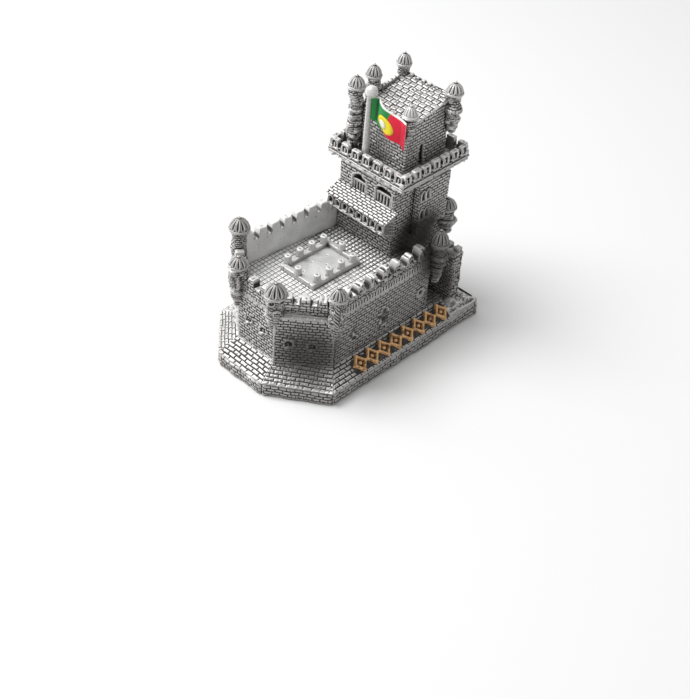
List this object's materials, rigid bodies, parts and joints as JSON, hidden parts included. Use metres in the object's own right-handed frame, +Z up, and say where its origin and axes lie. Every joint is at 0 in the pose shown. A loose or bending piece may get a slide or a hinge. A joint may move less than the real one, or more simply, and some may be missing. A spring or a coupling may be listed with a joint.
{
  "type": "miniature fortress figurine",
  "caption": "Desk souvenir of a small river fortress: a low six-sided bastion with domed corner turrets and a square tower carrying a flag.",
  "frame": {"origin": "centre of the resting face under the base", "axes": "+X along the bastion from its prow towards the tower and gate end, +Y towards the long plain parapet on the left side, +Z up"},
  "size_m": [0.082, 0.0536, 0.0829],
  "materials": {
    "wall_stone": "cast resin painted silver grey with a dark brown wash in the joints",
    "foot_stone": "cast resin painted silver grey with a heavier brown wash towards the bottom",
    "paving_stone": "cast resin painted pale silver, worn almost white on its flats",
    "turret_stone": "cast resin painted silver grey, dark between the ribs and rings",
    "pole_paint": "smooth pale silver paint",
    "flag_enamel": "glossy hand painted enamel in green, red and yellow",
    "bronze_paint": "bronze paint on raised relief",
    "dark_wash": "flat black-brown paint"
  },
  "bodies": {
    "root": {"base_plinth": "foot_stone", "glacis": "foot_stone", "rear_landing": "foot_stone", "landing_rock": "foot_stone", "bastion_body": "wall_stone", "terrace_paving": "paving_stone", "parapet_front": "wall_stone", "parapet_front_right": "wall_stone", "parapet_right": "wall_stone", "parapet_left": "wall_stone", "parapet_front_left": "wall_stone", "well_floor": "paving_stone", "well_curb_front": "paving_stone", "well_curb_back": "paving_stone", "well_curb_right": "paving_stone", "well_curb_left": "paving_stone", "turret_far_left": "turret_stone", "turret_prow_left": "turret_stone", "turret_prow_right": "turret_stone", "turret_near_right": "turret_stone", "turret_gate": "turret_stone", "turret_rear": "turret_stone", "dome_far_left": "turret_stone", "dome_prow_left": "turret_stone", "dome_prow_right": "turret_stone", "dome_near_right": "turret_stone", "dome_gate": "turret_stone", "dome_rear": "turret_stone", "tower_body": "wall_stone", "loggia_box": "wall_stone", "loggia_roof": "wall_stone", "window_grilles": "wall_stone", "side_bay": "wall_stone", "bay_corbel": "wall_stone", "gallery_slab": "wall_stone", "gallery_parapet_front": "wall_stone", "gallery_parapet_back": "wall_stone", "gallery_parapet_right": "wall_stone", "gallery_parapet_left": "wall_stone", "keep_body": "wall_stone", "keep_roof": "wall_stone", "roof_parapet_left": "wall_stone", "roof_parapet_back": "wall_stone", "keep_turret_a": "turret_stone", "keep_turret_b": "turret_stone", "keep_turret_c": "turret_stone", "keep_turret_d": "turret_stone", "keep_turret_e": "turret_stone", "keep_dome_a": "turret_stone", "keep_dome_b": "turret_stone", "keep_dome_c": "turret_stone", "keep_dome_d": "turret_stone", "keep_dome_e": "turret_stone", "flagpole": "pole_paint", "pole_ball": "pole_paint", "flag": "flag_enamel", "gate_wall": "wall_stone", "ornament_ground": "dark_wash", "ornament_relief": "bronze_paint"}
  },
  "joints": []
}
